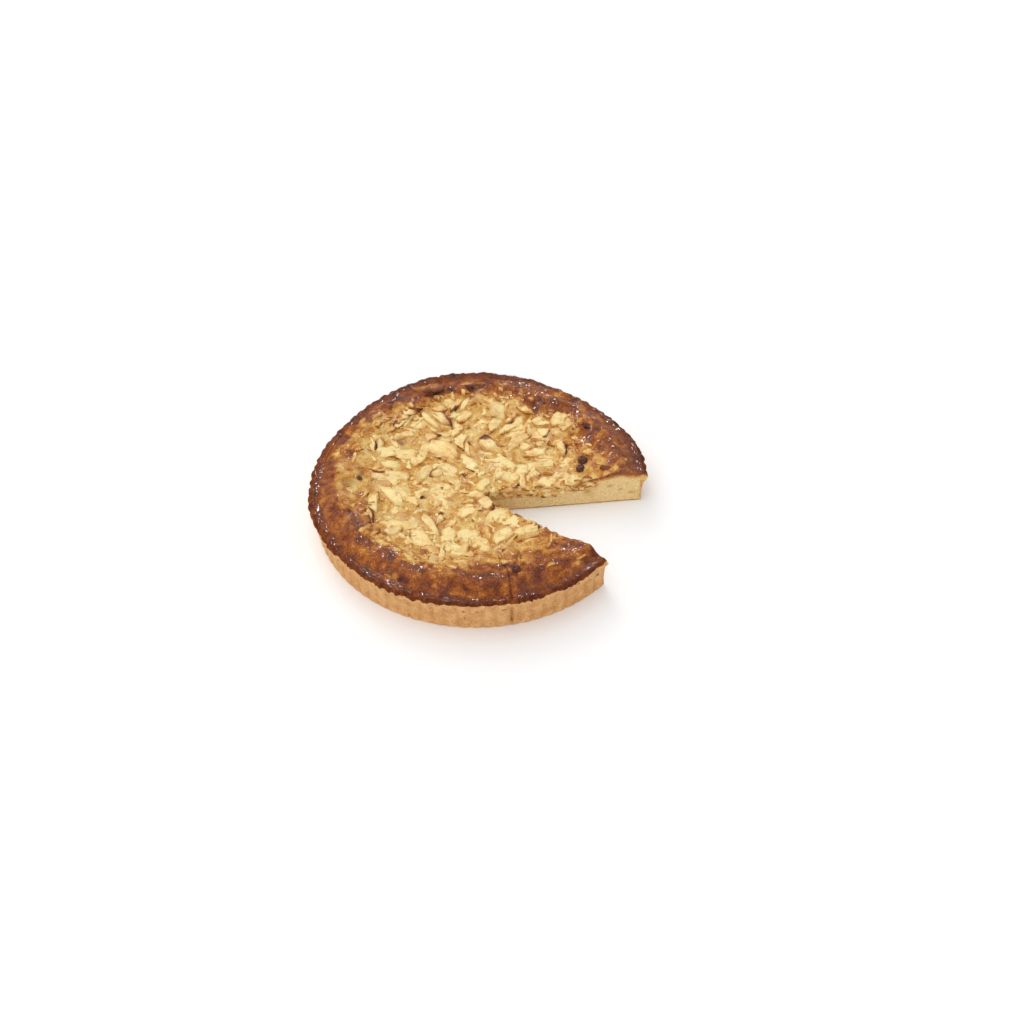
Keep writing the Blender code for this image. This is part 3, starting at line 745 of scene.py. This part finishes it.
heap = {
    "coreSteps": 480,
    "coreRings": 62,
    "pieceHeight": (3.0, 4.4),
    "fillPlaces": 520,
    # filling pieces lie on a spiral, each this many degrees further round
    "fillTurn": 137.508,
    # the kinds of filling piece: share of them, length, width
    "kinds": ((0.5, (13.0, 24.0), (8.0, 13.0)), (0.78, (10.0, 20.0), (2.4, 4.4)),
              (1.0, (7.0, 12.0), (5.0, 8.0))),
    "fillClear": 3.5,
    # how much longer, wider and more toasted the standing pieces come out
    "heroGrowth": (1.1, 1.15, 1.4),
    # where pieces show in the cuts: from and to this far from the cut's point, and the step
    "cutReach": (22.0, 92.0),
    "cutStep": (4.0, 6.0),
    # half buried pieces between the apple and the brown border
    "goldenPieces": 130,
    # the pieces that stand out: x, y, direction in degrees, length, width,
    # then how toasted one tip and one edge are, where the sign tells which
    "backLeft": (
        (-65, 83, 20, 22, 8, 0.9, 0.3), (-69, 73, 12, 15, 6, 0.4, 0), (-71, 65, 55, 13, 6, -1, 0.9),
        (-51, 82, -50, 32, 4), (-47, 77, -50, 26, 4), (-43, 71, -52, 24, 8),
        (-35, 79, -52, 26, 9, 0.3, 0.5), (-54, 70, 0, 16, 12), (-64, 56, 30, 22, 9),
        (-42, 54, 25, 18, 8, 0.9, 0), (-87, 44, -30, 15, 10), (-95, 44, -62, 16, 5, 0.5, 0.7),
        (-62, 33, -10, 18, 12, 0, 0.3), (-80, 32, 10, 18, 10), (-79, 19, 5, 24, 8), (-75, 6, -5, 34, 13),
        (-32, 39, -42, 32, 17), (-51, 25, 50, 15, 9), (-45, 9, 62, 20, 7), (-11, 42, 95, 22, 4),
        (-20, 97, 75, 19, 4, -0.6, 0), (-14, 94, 68, 18, 4, 0.4, 0), (-24, 93, 80, 16, 3, -0.4, 0),
        (-30, 99, 5, 13, 11), (-14, 80, 50, 16, 8), (-22, 64, 60, 15, 10), (-17, 50, 80, 18, 9, 0, 0.3),
        (-22, 13, -40, 20, 13), (-72, 46, -65, 14, 4), (-35, 10, 20, 12, 8, -0.5, 0.4)),
    "backRight": (
        (6, 47, 100, 22, 14, 0.9, 0.2), (16, 89, 70, 23, 14, 0.9, 0), (39, 97, -50, 20, 6),
        (12, 70, 50, 16, 9), (28, 69, 40, 30, 8), (30, 58, 41, 34, 8), (32, 48, 42, 28, 8),
        (51, 56, 5, 16, 13), (54, 71, 10, 17, 10, 0, -0.3), (67, 70, 70, 15, 12), (77, 69, 40, 14, 11),
        (68, 42, -70, 23, 9, 0.3, 0.9), (55, 29, 0, 13, 3), (54, 25, 2, 14, 3), (50, 21, 4, 24, 5),
        (34, 6, -80, 27, 6), (43, 11, 80, 14, 4), (57, 0, 20, 16, 12), (74, 5, 80, 19, 12),
        (72, 20, 60, 13, 8), (45, 34, 10, 20, 9), (20, 20, -30, 18, 12), (-2, 74, 30, 16, 12)),
    "frontLeft": (
        (-32, -15, 10, 30, 10, -1, 0), (-32, -6, 5, 20, 7), (-57, -17, -55, 28, 12),
        (-70, -15, -55, 26, 9), (-83, -28, 95, 18, 7), (-64, -35, 40, 17, 12),
        (-62, -51, -3, 30, 11, -0.5, 0), (-69, -63, 15, 15, 9), (-54, -68, -60, 12, 7, -1, 0),
        (-41, -73, -65, 36, 14), (-36, -49, -55, 24, 7, 0.3, 0.3), (-28, -31, 20, 11, 9, 0, -0.4),
        (-9, -35, 35, 15, 8), (-21, -63, 75, 20, 14, 0, -0.7), (-23, -76, 60, 14, 9),
        (-21, -91, -15, 34, 10), (-13, -79, -60, 18, 7), (-7, -61, -20, 16, 12), (-14, -45, 10, 16, 10),
        (-84, -45, -72, 18, 4, 1.2, 1.2)),
    "frontRight": (
        (3, -3, 60, 15, 8), (7, -26, -50, 16, 9, 0.4, 0.3), (14, -38, 35, 16, 9), (40, -60, 13, 24, 8),
        (4, -71, -30, 16, 11), (19, -62, 40, 18, 9), (-2, -16, 30, 14, 9)),
    "hanging": ((33, -46.5, -22, 22, 12),),
    # pieces baked into the border
    "border": (
        (104, -3, 60, 10, 7), (92, 29, 20, 13, 9), (100, 14, -20, 12, 6, 0, 0.3),
        (77.5, -92.3, 30, 9, 2.5), (54, -102, 28, 9, 3.5, 0.2, 0), (62, -67, -30, 10, 6, 0.3, 0.3),
        (31, -96, 92, 20, 4, 0.4, 0.3), (-86.7, -65.3, 37, 17, 7, -0.8, 0.2),
        (-78, -74, 133, 16, 6, 0.3, 0.4), (9, 107, 0, 12, 6, 0, 0.3), (25, 104, -15, 12, 6, 0, 0.3),
        (42, 98, -50, 13, 5, 0.4, 0), (-53, 113, 15, 15, 8, 0.9, 0.4), (86, 65, 50, 10, 7),
        (55, -75, 70, 8, 5, 0.2, 0.2), (-104, 34, 60, 12, 5, 0.4, 0.4),
        (-62.5, -108, 150, 14, 3.5, 0, 0.2), (-98, 52, 70, 13, 6, 0.3, 0.4),
        (118, 12, 60, 10, 4, 0.5, 0.3)),
    # dark skins: the same, all browned
    "skins": ((105, 5, -25, 15, 4.2), (-94, -59, -85, 15, 3.6), (-85, -46, -76, 17, 4.5)),
}


def sliceTemplate():
    # a cube cut into 10 by 5 by 2 cells, shaped later into each slice
    block = bmesh.new()
    bmesh.ops.create_cube(block, size=2.0)
    for axis, cuts in ((0, 9), (1, 4), (2, 1)):
        edges = [edge for edge in block.edges
                 if abs(edge.verts[0].co[axis] - edge.verts[1].co[axis]) > 1.9]
        bmesh.ops.subdivide_edges(block, edges=edges, cuts=cuts, use_grid_fill=True)
    mesh = bpy.data.meshes.new("slice_template")
    block.to_mesh(mesh)
    block.free()
    return mesh


def shapeSlice(vertices, size, tipToast, draw):
    # a cut piece of apple: one side straight, the other rounded and thicker, torn at the ends
    length, width, height = size
    curve, other = draw.uniform(0.2, 0.75), draw.uniform(0.0, 0.3)
    skew, thin = draw.uniform(-0.5, 0.5), draw.uniform(0.1, 0.6)
    bend, sag = draw.uniform(-0.1, 0.12), draw.uniform(-0.6, 1.0)
    twist = math.radians(draw.uniform(-16.0, 16.0))
    seed = draw.uniform(0.0, 90.0)
    for vertex in vertices:
        a, b, c = (math.copysign(1.0 - (1.0 - abs(part)) ** 1.3, part) for part in vertex.co)
        pointed = 0.6 * abs(tipToast) * clamp(math.copysign(a, a * tipToast)) ** 1.5
        taper = max(0.06, 1.0 - (curve if b > 0 else other) * abs(a) ** 2.2 - pointed)
        rim = max(abs(a), abs(b))
        inset = 1.0 - 0.1 * abs(c) * band(rim, 0.85, 1.0)
        x = a * length / 2.0 * inset + skew * b * width / 2.0
        y = b * width / 2.0 * taper * inset + bend * width * (0.5 - 1.3 * a * a)
        z = c * height / 2.0 * (1.0 - thin * (1.0 - b) / 2.0) * (1.0 - 0.14 * rim ** 6) - sag * a * a
        turn = twist * a
        y, z = y * math.cos(turn) - z * math.sin(turn), y * math.sin(turn) + z * math.cos(turn)
        spot = Vector((x, y, z))
        push = noise.noise_vector(spot / 5.0 + Vector((seed, 0, 0))) * 1.0
        push += noise.noise_vector(spot / 2.2 + Vector((0, seed, 0))) * 0.45
        vertex.co = spot + push * min(1.5, width / 7.0)


def roomInHeap(piece):
    x, y, direction, length, width = piece[:5]
    turn = math.radians(direction)
    along = Vector((math.cos(turn), math.sin(turn)))
    across = Vector((-along.y, along.x))
    room = 99.0
    for end, side in ((0.5, 0.0), (-0.5, 0.0), (0.3, 0.5), (-0.3, 0.5), (0.3, -0.5), (-0.3, -0.5)):
        spot = Vector((x, y)) + along * length * end + across * width * side
        radius, angle = polar(*spot)
        room = min(room, appleReach(angle) - radius)
    return room


def movedInside(piece):
    x, y = piece[:2]
    while roomInHeap((x, y) + piece[2:]) < 0.0:
        x, y = 0.985 * x, 0.985 * y
    return (x, y) + piece[2:]


def fillSlices(taken, draw):
    found = []
    for index in range(heap["fillPlaces"]):
        angle = index * heap["fillTurn"]
        radius = appleReach(angle) * math.sqrt((index + 0.5) / heap["fillPlaces"])
        x, y = onRound(radius, angle)
        x += draw.uniform(-2.0, 2.0)
        y += draw.uniform(-2.0, 2.0)
        pick = draw.random()
        _, lengths, widths = next(kind for kind in heap["kinds"] if pick <= kind[0])
        tip = draw.choice((-1.0, 1.0)) * draw.random() ** 3 * 0.8
        edge = draw.choice((-1.0, 1.0)) * draw.random() ** 2 * 0.55
        piece = (x, y, draw.uniform(0.0, 180.0), draw.uniform(*lengths), draw.uniform(*widths), tip, edge)
        if min(math.hypot(x - other[0], y - other[1]) for other in taken) >= heap["fillClear"]:
            found.append(movedInside(piece))
    return found


def goldenSlices(draw):
    found = []
    for _ in range(heap["goldenPieces"]):
        angle = draw.uniform(tart["backCut"] + 4.0, tart["frontCut"] - 4.0)
        reach = appleReach(angle)
        radius = draw.uniform(reach - 4.0, max(reach + 4.0, roundTheTart(tart["brownFrom"], angle)))
        found.append((*onRound(radius, angle), draw.uniform(0.0, 180.0), draw.uniform(7.0, 15.0),
                      draw.uniform(3.0, 7.0), draw.uniform(-0.3, 0.3), draw.uniform(-0.3, 0.3)))
    return found


def toneAt(x, y):
    # how golden the apple is here: pale in the middle and front, golden to the edge and the right
    radius, angle = polar(x, y)
    edge = 0.36 * band(radius, appleReach(angle) - 16.0, appleReach(angle))
    return 0.28 + edge + 0.1 * band(x + y, 0.0, 90.0) + 0.35 * wave(x, y, 17.0, 51.0)


def cutPlanes():
    # a point, and the way out of the tart, of both cuts
    planes = []
    for direction, side in ((tart["backCut"], 1.0), (tart["frontCut"], -1.0)):
        turn = math.radians(direction)
        planes.append((turn, Vector((math.sin(turn), -math.cos(turn), 0.0)) * side))
    return planes


def trimAtCuts(block, over):
    # a slice that crosses a cut is sliced by the knife there, a little raggedly
    point = tart["cutPoint"].to_3d()
    spots = [vertex.co - point for vertex in block.verts]
    planes = [outward for _, outward in cutPlanes()]
    out = [[spot.dot(outward) - over for spot in spots] for outward in planes]
    if not any(min(pair) > 0.0 for pair in zip(*out)):
        return True
    centre = sum(spots, Vector()) / len(spots)
    depths = [centre.dot(outward) for outward in planes]
    nearest = planes[depths.index(min(depths))]
    if min(depths) > 0.0:
        return False
    bmesh.ops.bisect_plane(block, geom=block.verts[:] + block.edges[:] + block.faces[:],
                           plane_co=point + nearest * over, plane_no=nearest, clear_outer=True)
    openEdges = [edge for edge in block.edges if len(edge.link_faces) == 1]
    bmesh.ops.holes_fill(block, edges=openEdges, sides=0)
    return True


def sliceBlock(template, piece, tall, draw, tone, char):
    # one slice on its own, with how golden and how browned each point is
    length, width, tipToast, edgeToast = piece[3:7]
    block = bmesh.new()
    block.from_mesh(template)
    toneLayer = block.verts.layers.float.new("tone")
    toastLayer = block.verts.layers.float.new("toast")
    ownLayer = block.verts.layers.float_vector.new("lengthwise")
    start = Vector((draw.uniform(0.0, 90.0), draw.uniform(0.0, 90.0), 0.0))
    leanA, leanB = draw.uniform(-0.25, 0.25), draw.uniform(-0.3, 0.3)
    for vertex in block.verts:
        a, b, c = vertex.co
        rim = band(max(abs(a), abs(b)), 0.5, 1.0) * 0.25
        vertex[toneLayer] = tone + rim - 0.1 * c + leanA * a + leanB * b
        tip = band(a * math.copysign(1.0, tipToast), 0.0, 0.9) * abs(tipToast)
        edge = band(b * math.copysign(1.0, edgeToast), -0.1, 1.0) * abs(edgeToast)
        vertex[toastLayer] = tip + edge + char
        vertex[ownLayer] = (start + Vector((a * length / 2.0, b * width / 2.0, c * tall / 2.0))) * mm
    shapeSlice(block.verts, (length, width, tall), tipToast, draw)
    return block


def mergeBlock(heapMesh, block, place, trimOver=None):
    bmesh.ops.transform(block, matrix=place, verts=block.verts)
    if trimOver is None or trimAtCuts(block, trimOver):
        bmesh.ops.recalc_face_normals(block, faces=block.faces)
        part = bpy.data.meshes.new("slice_part")
        block.to_mesh(part)
        heapMesh.from_mesh(part)
        bpy.data.meshes.remove(part)
    block.free()


def addSlice(heapMesh, template, piece, draw, above, tone, height=None, trim=True,
             tilts=(7.0, 4.0), char=0.0):
    # sinks one slice in the batter and adds it to the heap
    x, y, direction, length, width = piece[:5]
    tall = height or min(draw.uniform(*heap["pieceHeight"]), width * 0.8)
    block = sliceBlock(template, piece, tall, draw, tone, char)
    tilt = Euler((math.radians(draw.gauss(0.0, tilts[0])), math.radians(draw.gauss(0.0, tilts[1])),
                  math.radians(direction)))
    radius, angle = polar(x, y)
    lift = topHeight(x, y, radius, angle) + above - tall / 2.0
    place = Matrix.Translation((x, y, lift)) @ tilt.to_matrix().to_4x4()
    mergeBlock(heapMesh, block, place, draw.uniform(-0.5, 1.2) if trim else None)


def addCutSlices(heapMesh, template, draw):
    # pieces of apple that show in the cut faces and hang a little over the crumb
    for turn, outward in cutPlanes():
        along = Vector((math.cos(turn), math.sin(turn), 0.0))
        reach, last = heap["cutReach"]
        while reach < last:
            spot = tart["cutPoint"].to_3d() + along * reach
            radius, angle = polar(spot.x, spot.y)
            if radius < appleReach(angle) + 4.0:
                top = surfaceHeight(radius, angle)
                depth = min(8.0, top - basinHeight(clamp(radius / appleReach(angle)), angle))
                for level in (0.3, 0.75):
                    piece = (0, 0, 0, draw.uniform(8.0, 15.0), draw.uniform(4.0, 8.0),
                             draw.uniform(-0.5, 0.5), draw.uniform(-0.4, 0.4))
                    tall = draw.uniform(2.6, 3.6)
                    tone, char = draw.uniform(0.2, 0.9), draw.uniform(0.0, 0.2)
                    block = sliceBlock(template, piece, tall, draw, tone, char)
                    height = top - depth * level + draw.uniform(-1.0, 0.6)
                    centre = spot + outward * draw.uniform(-1.6, -0.5) + Vector((0.0, 0.0, height))
                    centre += along * draw.uniform(-2.0, 2.0)
                    lean = Matrix.Rotation(math.radians(draw.uniform(55.0, 95.0)), 4, "X")
                    slant = Matrix.Rotation(math.radians(draw.uniform(-35.0, 35.0)), 4, "Z")
                    face = Matrix.Rotation(math.atan2(outward.y, outward.x) + math.pi / 2.0, 4, "Z")
                    mergeBlock(heapMesh, block, Matrix.Translation(centre) @ face @ lean @ slant)
            reach += draw.uniform(*heap["cutStep"])


def makeCore(material):
    # the apple and batter under the slices, with its own cut faces
    rings = heap["coreRings"]
    sideRings = 3
    total = 2 * rings + sideRings + 1

    def ringSpot(ring, direction):
        if ring <= rings:
            share = 1.02 * ring / rings
            spot, radius, angle = settle(direction, lambda turn: share * appleReach(turn))
            hidden = 1.2 * band(share, 1.001, 1.02) - 0.12
            return spot, topHeight(spot.x, spot.y, radius, angle) - hidden, radius, angle
        share = 1.02 * (1.0 - (ring - rings - sideRings) / rings) if ring > rings + sideRings else 1.02
        share = min(share, 0.985)
        spot, radius, angle = settle(direction, lambda turn: share * appleReach(turn))
        floor = basinHeight(share, angle) + 0.15
        if ring < rings + sideRings:
            floor += (surfaceHeight(radius, angle) - 2.0 - floor) * (1.0 - (ring - rings) / sideRings)
        return spot, floor, radius, angle

    def place(vertex, ring, direction, marks):
        spot, height, radius, angle = ringSpot(ring, direction)
        vertex.co = Vector((spot.x, spot.y, height))
        if ring <= rings:
            vertex[marks["baked"]] = bakedAt(spot.x, spot.y, radius, angle)
            vertex[marks["scorch"]] = spotAt(spot.x, spot.y)

    shell, marks = spunShell(total, heap["coreSteps"], place)

    def relief(vertex, inner, outward):
        spot = vertex.co
        lumps = noise.noise(spot / 5.0) * 0.7 + noise.noise(spot / 1.8) * 0.3
        vertex.co = spot + outward * inner * 1.2 * lumps
        vertex[marks["inside"]] = 1.0

    cutFaces(shell, ringSpot, total, rings, sideRings, relief)
    made = finishedPiece("apple_batter", shell, material)
    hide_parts("apple_topping")
    print("batter made:", len(made.data.polygons), "faces")


def sliceMesh():
    whole = bmesh.new()
    whole.verts.layers.float.new("tone")
    whole.verts.layers.float.new("toast")
    whole.verts.layers.float_vector.new("lengthwise")
    return whole


def piecesOf(*names):
    # the tables leave out the last two values where they are nought
    return [piece + (0,) * (7 - len(piece)) for name in names for piece in heap[name]]


def makeSlices(material):
    template = sliceTemplate()
    draw = random.Random(23)
    heroes = piecesOf("backLeft", "backRight", "frontLeft", "frontRight")
    fill = fillSlices(heroes, draw)
    for part, pieces in enumerate((fill[::2], fill[1::2]), 1):
        whole = sliceMesh()
        for piece in pieces:
            tone = toneAt(piece[0], piece[1]) + draw.uniform(-0.3, 0.4)
            addSlice(whole, template, piece, draw, draw.uniform(-0.9, 0.6), tone, tilts=(9.0, 5.0))
        made = finishedPiece("apple_pieces_%d" % part, whole, material, 50.0)
        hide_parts("apple_topping")

    whole = sliceMesh()
    longer, wider, darker = heap["heroGrowth"]
    for piece in heroes:
        tone = 0.6 * toneAt(piece[0], piece[1]) + draw.uniform(-0.15, 0.2)
        x, y, direction, length, width, tip, edge = movedInside(piece)
        piece = (x, y, direction, length * longer, width * wider, tip * darker, edge * darker)
        addSlice(whole, template, piece, draw, draw.uniform(1.1, 2.0), tone)
    for piece in piecesOf("hanging"):
        addSlice(whole, template, piece, draw, 1.2, 0.0, trim=False)
    addCutSlices(whole, template, draw)
    made = finishedPiece("apple_slices", whole, material, 50.0)
    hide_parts("apple_topping")

    whole = sliceMesh()
    for piece in goldenSlices(draw):
        addSlice(whole, template, piece, draw, draw.uniform(-0.3, 0.5), draw.uniform(0.5, 1.1),
                 char=draw.uniform(0, 0.25))
    for piece in piecesOf("border"):
        addSlice(whole, template, piece, draw, draw.uniform(0.0, 0.6), draw.uniform(0.7, 1.1), char=0.12)
    for piece in piecesOf("skins"):
        addSlice(whole, template, piece, draw, 0.5, 0.8, char=0.7)
    made = finishedPiece("border_slices", whole, material, 50.0)
    bpy.data.meshes.remove(template)
    print("slices made:", len(made.data.polygons), "faces")


# Raisins and the scorched slice

raisins = {
    "places": (
        (84.5, 20.5, 9.0), (82.5, 12.0, 8.0), (29.5, -106, 7.5), (-10.5, 110.5, 7.5), (89.5, 57.5, 6.5)),
    "flatness": 0.72,
    "sunk": 0.4,
}


def makeRaisins(material):
    for number, (x, y, size) in enumerate(raisins["places"], 1):
        ball = bmesh.new()
        bmesh.ops.create_icosphere(ball, subdivisions=4, radius=1.0)
        half = Vector((size / 2.0, size / 2.0 * 0.9, size / 2.0 * raisins["flatness"]))
        for vertex in ball.verts:
            spot = vertex.co.copy()
            folds = abs(noise.noise(spot * 1.7 + Vector((number * 7.0, 0, 0)))) * 0.6
            folds += abs(noise.noise(spot * 4.2 + Vector((0, number * 5.0, 0)))) * 0.22
            vertex.co = spot * half * 1.12 * (1.0 - folds)
        radius, angle = polar(x, y)
        place = Matrix.Translation((x, y, surfaceHeight(radius, angle) + raisins["sunk"]))
        place = place @ Matrix.Rotation(math.radians(3.0 * x), 4, "Z")
        bmesh.ops.transform(ball, matrix=place, verts=ball.verts)
        made = finishedPiece("raisin_skin_%d" % number, ball, material, 60.0)
        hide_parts("raisin_%d" % number)
    print("raisins made")


scorched = {"place": (-41.5, 106, 5, 16, 11, 0.2, -0.8), "height": 2.4, "above": 1.6, "char": 0.45}


def makeScorchedSlice(material):
    template = sliceTemplate()
    whole = sliceMesh()
    addSlice(whole, template, scorched["place"], random.Random(4), scorched["above"], 0.9,
             height=scorched["height"], trim=False, tilts=(2.0, 2.0), char=scorched["char"])
    bpy.data.meshes.remove(template)
    made = finishedPiece("scorched_flap", whole, material, 50.0)
    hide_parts("scorched_slice")
    print("scorched slice made")


# Stage

stage = {
    "floorSize": 8.0,
    "world": 0.53,
    # the suns of the studio: power, size in degrees, turn
    "suns": ((1.1, 70.0, (-12.0, -24.0, 0.0)), (0.85, 80.0, (66.0, 0.0, -6.0)),
             (0.6, 30.0, (-58.0, 0.0, 23.0))),
    # small windows that only give the glaze its sparkle: power, size, place
    "windows": ((1.6, 0.08, (-0.25, 0.75, 0.85)), (1.4, 0.08, (0.35, 0.6, 0.95)),
                (1.4, 0.08, (-0.5, 0.2, 1.0)), (1.6, 0.08, (0.1, 0.95, 0.5))),
}


def makeStage():
    bed = bmesh.new()
    bmesh.ops.create_grid(bed, x_segments=1, y_segments=1, size=stage["floorSize"] / 2.0)
    mesh = bpy.data.meshes.new("floor")
    bed.to_mesh(mesh)
    bed.free()
    mesh.materials.append(floorFinish())
    floor = bpy.data.objects.new("floor", mesh)
    floor.location.z = -0.0002
    bpy.context.scene.collection.objects.link(floor)

    world = bpy.data.worlds.new("studio")
    world.use_nodes = True
    background = world.node_tree.nodes["Background"]
    background.inputs["Color"].default_value = (1.0, 1.0, 1.0, 1.0)
    background.inputs["Strength"].default_value = stage["world"]
    bpy.context.scene.world = world

    for power, size, turn in stage["suns"]:
        sun = bpy.data.lights.new("softbox", "SUN")
        sun.energy = power
        sun.angle = math.radians(size)
        sunObject = bpy.data.objects.new("softbox", sun)
        sunObject.rotation_euler = [math.radians(part) for part in turn]
        sunObject.visible_glossy = False
        bpy.context.scene.collection.objects.link(sunObject)
    for power, size, place in stage["windows"]:
        window = bpy.data.lights.new("window", "AREA")
        window.energy = power
        window.size = size
        windowObject = bpy.data.objects.new("window", window)
        windowObject.location = place
        windowObject.visible_diffuse = False
        windowObject.rotation_euler = (-windowObject.location).to_track_quat("-Z", "Y").to_euler()
        bpy.context.scene.collection.objects.link(windowObject)
    print("stage made")


# Camera at the photograph's angle

view = {
    "target": Vector((0.02645, -0.01331, 0.0)),
    "elevation": 45.0,
    "roll": -0.2,
    "distance": 0.831,
    "lens": 35.864,
    "sensor": 36.0,
}


def makeCamera():
    lens = bpy.data.cameras.new("camera")
    lens.lens = view["lens"]
    lens.sensor_width = view["sensor"]
    camera = bpy.data.objects.new("camera", lens)
    rise = math.radians(view["elevation"])
    back = Vector((0.0, -math.cos(rise), math.sin(rise)))
    camera.location = view["target"] + back * view["distance"]
    tilt = Matrix.Rotation(math.radians(90.0) - rise, 4, "X")
    roll = Matrix.Rotation(math.radians(view["roll"]), 4, "Z")
    camera.rotation_euler = (tilt @ roll).to_euler()
    bpy.context.scene.collection.objects.link(camera)
    bpy.context.scene.camera = camera


bpy.context.scene.view_settings.view_transform = "Standard"
makeStage()
makeCamera()
apple = appleFinish()
makeCake(crustFinish("bakedCrust"))
makeCore(crustFinish("goldenBatter"))
makeSlices(apple)
makeRaisins(raisinFinish())
makeScorchedSlice(apple)
